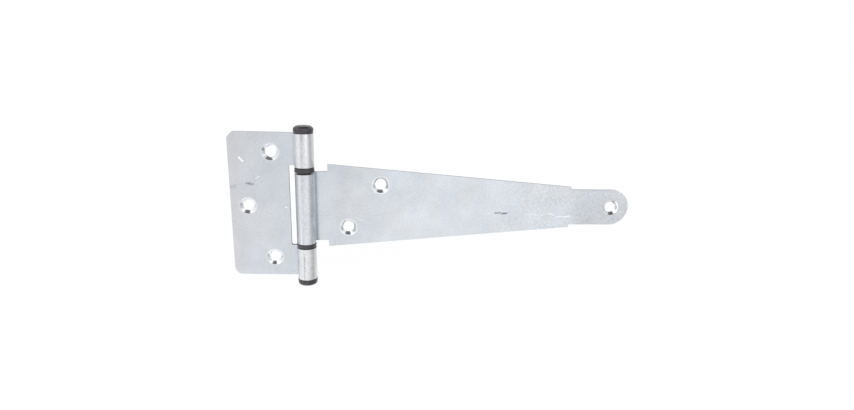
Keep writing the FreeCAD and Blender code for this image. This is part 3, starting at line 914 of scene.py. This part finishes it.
# %% Make a leaf from its blank
def make_leaf(name, blank, side, holes, material, hole_material, body, window=(0, 0)):
    """Roll and drill a blank, round its edges, and let it stand for its CAD node."""
    blank.data.materials.append(material)
    add_tree(blank, roll_tree, {"Thickness": GAUGE, "Middle radius": NEUTRAL_RADIUS,
                                "Side": float(side), "Window reach": window[0] * MM,
                                "Window half height": window[1] * MM,
                                "Sheet material": material, "Edge material": cut_edge_zinc_and_shade,
                                "Window shade material": window_shade_zinc})
    values = {"Pin place": PIN_LINE, "Hole material": hole_material}
    for number, (x, z) in enumerate(holes, start=1):
        values[f"Hole {number}"] = Vector((x * MM, 0, z * MM))
    add_tree(blank, hole_tree, values)
    evaluated = blank.evaluated_get(bpy.context.evaluated_depsgraph_get())
    mesh = bpy.data.meshes.new_from_object(evaluated)
    bpy.data.objects.remove(blank)
    mesh.name = name
    mesh.shade_smooth()
    leaf = add_object(name, mesh)
    rounding = leaf.modifiers.new("rounded_edges", "BEVEL")
    rounding.limit_method = "WEIGHT"
    rounding.width = EDGE_ROUND
    rounding.segments = 3
    rounding.harden_normals = True
    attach(leaf, body)
    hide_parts(name)
    print(name, len(mesh.vertices), "corners,", len(mesh.polygons), "faces,",
          [m.name for m in mesh.materials])


print("edges are rounded by up to", EDGE_ROUND / MM, "mm")

# %% [markdown]
# ## The short leaf
#
# It is a rectangle with a window beside the barrel, where the strap's knuckle turns.
# Above and below the window the sheet runs on into a knuckle. The upper outer corner
# is cut straight, and the lower one is rounded. The edges aren't quite square to the
# barrel, as often in pressed hardware: the lower one rises by 0.8 mm towards the
# outside, and the upper one by 0.3 mm.

# %% Make the short leaf
LEAF_REACH, LEAF_TOP = 44.5, 44.4
OUTER_FOOT = -43.6
INNER_TOP = (-2.0, 44.12)
WINDOW_EDGE, WINDOW_TOP = -9.7, 24.8
WINDOW_MARGIN = 0.1
CORNER_CUT, CUT_ROUND, CORNER_ROUND, WINDOW_ROUND = 3.2, 1.6, 4.8, 1.0

outline = [(0, -LEAF_TOP), (0, -WINDOW_TOP)]
outline += round_corner((0, -WINDOW_TOP), (WINDOW_EDGE, -WINDOW_TOP), (WINDOW_EDGE, 0),
                        WINDOW_ROUND)
outline += round_corner((WINDOW_EDGE, 0), (WINDOW_EDGE, WINDOW_TOP), (0, WINDOW_TOP),
                        WINDOW_ROUND)
outline += [(0, WINDOW_TOP), (0, LEAF_TOP), INNER_TOP]
cut_start = (-LEAF_REACH + CORNER_CUT, LEAF_TOP)
cut_end = (-LEAF_REACH, LEAF_TOP - CORNER_CUT)
outline += round_corner(INNER_TOP, cut_start, cut_end, CUT_ROUND, steps=4)
outline += round_corner(cut_start, cut_end, (-LEAF_REACH, 0), CUT_ROUND, steps=4)
outline += round_corner((-LEAF_REACH, 0), (-LEAF_REACH, OUTER_FOOT), (0, -LEAF_TOP),
                        CORNER_ROUND)
blank = flat_blank("frame_blank", outline,
                   [(-LEAF_TOP, -WINDOW_TOP), (WINDOW_TOP, LEAF_TOP)], 1)
make_leaf("frame_leaf", blank, 1, FRAME_SCREWS, frame_zinc, frame_sink, "frame_side",
          window=(WINDOW_MARGIN - WINDOW_EDGE, WINDOW_TOP + WINDOW_MARGIN))

# %% [markdown]
# ## The long strap
#
# From its knuckle a neck leads to square shoulders. From there the strap tapers to a
# parallel tab with a round end. Its knuckle rolls the other way, so the blank is drawn
# with its tongue on the left.

# %% Make the strap
KNUCKLE_FOOT, KNUCKLE_TOP, STRAP_MIDDLE = -21.7, 20.8, -0.05
NECK_REACH, NECK_TOP = 12.85, 21.3
TAPER_REACH, STRAP_REACH = 162.6, 200.0
SHOULDER_HALF, TAPER_END_HALF, TAB_HALF = 25.55, 12.9, 11.2
TAB_CENTRE, TAB_STEPS = STRAP_REACH - TAB_HALF, 48

lower = [(0, KNUCKLE_FOOT), (NECK_REACH, KNUCKLE_FOOT),
         (NECK_REACH, STRAP_MIDDLE - SHOULDER_HALF),
         (TAPER_REACH, STRAP_MIDDLE - TAPER_END_HALF),
         (TAPER_REACH, STRAP_MIDDLE - TAB_HALF)]
tab_end = []
for step in range(TAB_STEPS + 1):
    angle = math.pi * (step / TAB_STEPS - 0.5)
    tab_end.append((TAB_CENTRE + TAB_HALF * math.cos(angle),
                    STRAP_MIDDLE + TAB_HALF * math.sin(angle)))
upper = [(TAPER_REACH, STRAP_MIDDLE + TAB_HALF),
         (TAPER_REACH, STRAP_MIDDLE + TAPER_END_HALF),
         (NECK_REACH, STRAP_MIDDLE + SHOULDER_HALF), (NECK_REACH, NECK_TOP),
         (0, KNUCKLE_TOP)]
blank = flat_blank("strap_blank", lower + tab_end + upper,
                   [(KNUCKLE_FOOT, KNUCKLE_TOP)], -1)
make_leaf("strap_leaf", blank, -1, STRAP_SCREWS, strap_zinc, strap_sink, "strap_side")

# %% [markdown]
# ## Black plastic
#
# The caps and bushes are moulded in black plastic. Moulded plastic isn't quite matt:
# it has a faint uneven sheen and the lightest texture, so colour, roughness and a small
# bump follow two noises.

# %% Moulded black plastic as a material
SHEEN_SCALE, SKIN_SCALE = 350.0, 4200.0
DARK_PLASTIC, PALE_PLASTIC = (0.026, 0.019, 0.028, 1), (0.040, 0.031, 0.042, 1)
PLASTIC_ROUGHNESS, SHEEN_SPREAD = 0.22, 0.16
SKIN_BUMP, SKIN_HEIGHT = 0.25, 0.02 * MM
PLASTIC_SPECULAR = 0.72


def moulded_plastic(name):
    """Satin black plastic with a slightly uneven skin."""
    material, tree = new_material(name)
    place = add_node(tree, "ShaderNodeTexCoord").outputs["Object"]
    sheen = noise(tree, place, SHEEN_SCALE, 2.0)
    skin = noise(tree, place, SKIN_SCALE, 1.0)
    colour = mix_colours(tree, sheen, DARK_PLASTIC, PALE_PLASTIC)
    rough = maths(tree, "MULTIPLY_ADD", sheen, SHEEN_SPREAD, PLASTIC_ROUGHNESS)
    finish_surface(tree, skin, SKIN_BUMP, SKIN_HEIGHT, {
        "Base Color": colour, "Roughness": rough, "Specular IOR Level": PLASTIC_SPECULAR})
    return material


black_plastic = moulded_plastic("moulded_black")
print("material:", black_plastic.name)

# %% [markdown]
# ## Turned pieces
#
# Every plastic piece is round about the pin, so half its section is enough. The section
# is a closed line of radius and height, and each corner may be rounded as the mould
# rounds it. The line is turned about the axis in steps, and points on the axis itself
# are kept as single points, so no hole or pinch is left there.

# %% Turn a section about the pin
TURN_STEPS = 96
ON_AXIS = 1e-6
CREASE = math.radians(35)


def rounded_section(section):
    """The line of radius and height through a section, with its corners rounded."""
    line = []
    for index, (radius, height, rounding) in enumerate(section):
        if rounding:
            before = section[index - 1][:2]
            after = section[(index + 1) % len(section)][:2]
            line += round_corner(before, (radius, height), after, rounding, steps=6)
        else:
            line.append((radius, height))
    return line


def turned_mesh(name, section):
    """A closed mesh turned from (radius, height, corner round) in millimetres."""
    shape = bmesh.new()
    rings = []
    for radius, height in rounded_section(section):
        ring = []
        for step in range(TURN_STEPS if radius > ON_AXIS else 1):
            angle = 2 * math.pi * (step + 0.5) / TURN_STEPS
            ring.append(shape.verts.new(PIN_LINE + MM * Vector(
                (radius * math.cos(angle), radius * math.sin(angle), height))))
        rings.append(ring)
    for ring, following in zip(rings, rings[1:] + rings[:1]):
        for step in range(TURN_STEPS):
            corners = []
            for loop, at in ((ring, step), (ring, step + 1), (following, step + 1),
                             (following, step)):
                corner = loop[at % len(loop)]
                if corner not in corners:
                    corners.append(corner)
            if len(corners) > 2:
                shape.faces.new(corners)
    bmesh.ops.recalc_face_normals(shape, faces=shape.faces)
    mesh = bpy.data.meshes.new(name)
    shape.to_mesh(mesh)
    shape.free()
    return mesh


print("turned pieces have", TURN_STEPS, "sides")


# %% Make a plastic piece
def plastic_piece(name, section, body):
    """Turn a section, give it plastic, and let it stand for its CAD node."""
    mesh = turned_mesh(name, section)
    mesh.shade_smooth()
    mesh.set_sharp_from_angle(angle=CREASE)
    mesh.materials.append(black_plastic)
    piece = add_object(name, mesh)
    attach(piece, body)
    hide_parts(name)
    print(name, len(mesh.polygons), "faces")


print(f"edges sharper than {math.degrees(CREASE):.0f} degrees stay crisp")

# %% [markdown]
# A cap has a head that covers the knuckle's end and a long sleeve that lines it. The
# upper head swells like a mushroom and has a shallow dish in its crown. The lower one
# is flatter and narrows downwards. A bush is a flange with a sleeve for the strap's
# knuckle. Its flange is widest next to that knuckle, and a fine neck at the other end
# leaves a dark line next to the short leaf's knuckle.

# %% Make the caps and the bushes
PIN_BORE, LINER, FLANGE, NECK = 2.75, 3.72, 5.95, 5.1
SEAT, SLEEVE_END, CLOSED_END = 44.45, 25.4, 46.05
DOME_RADIUS, DOME_FOOT, DOME_WIDTH, DOME_HEIGHT = 2.85, 46.45, 3.0, 2.4
BUSH_END, FLANGE_START, NECK_START, FLANGE_END = 3.75, 21.75, 24.45, 24.75

dome = []
for degrees in range(0, 91, 6):
    angle = math.radians(degrees)
    dome.append((DOME_RADIUS + DOME_WIDTH * math.cos(angle),
                 DOME_FOOT + DOME_HEIGHT * math.sin(angle), 0))
plastic_piece("top_cap", dome + [
    (1.6, 48.85, 0), (0, 48.7, 0), (0, CLOSED_END, 0), (PIN_BORE, CLOSED_END, 0),
    (PIN_BORE, SLEEVE_END, 0), (LINER, SLEEVE_END, 0), (LINER, SEAT, 0),
    (5.55, SEAT, 0.2)], "frame_side")
plastic_piece("bottom_cap", [
    (0, -48.25, 0), (5.65, -48.25, 1.4), (5.9, -SEAT, 0.25), (LINER, -SEAT, 0),
    (LINER, -SLEEVE_END, 0), (PIN_BORE, -SLEEVE_END, 0), (PIN_BORE, -CLOSED_END, 0),
    (0, -CLOSED_END, 0)], "frame_side")
for name, sign in (("upper_bush", 1), ("lower_bush", -1)):
    plastic_piece(name, [
        (PIN_BORE, sign * BUSH_END, 0), (LINER, sign * BUSH_END, 0),
        (LINER, sign * FLANGE_START, 0), (FLANGE, sign * FLANGE_START, 0.4),
        (5.62, sign * 24.35, 0.35), (NECK, sign * NECK_START, 0),
        (NECK, sign * FLANGE_END, 0), (PIN_BORE, sign * FLANGE_END, 0)], "strap_side")

# %% [markdown]
# ## The pin
#
# The pin is hidden by the caps, so its own solid stays as it is. It only gets drawn
# steel, streaked along its length, so that it looks right where a cap is lifted.

# %% Give the pin its steel
pin_steel = zinc_plating("drawn_steel", (0.55, 0.56, 0.58), 0.28, grain=0.06,
                         barrel=(0.56, 0.565, 0.58))
pin = frame["nodes"]["hinge_pin"]
pin.data.materials.clear()
pin.data.materials.append(pin_steel)
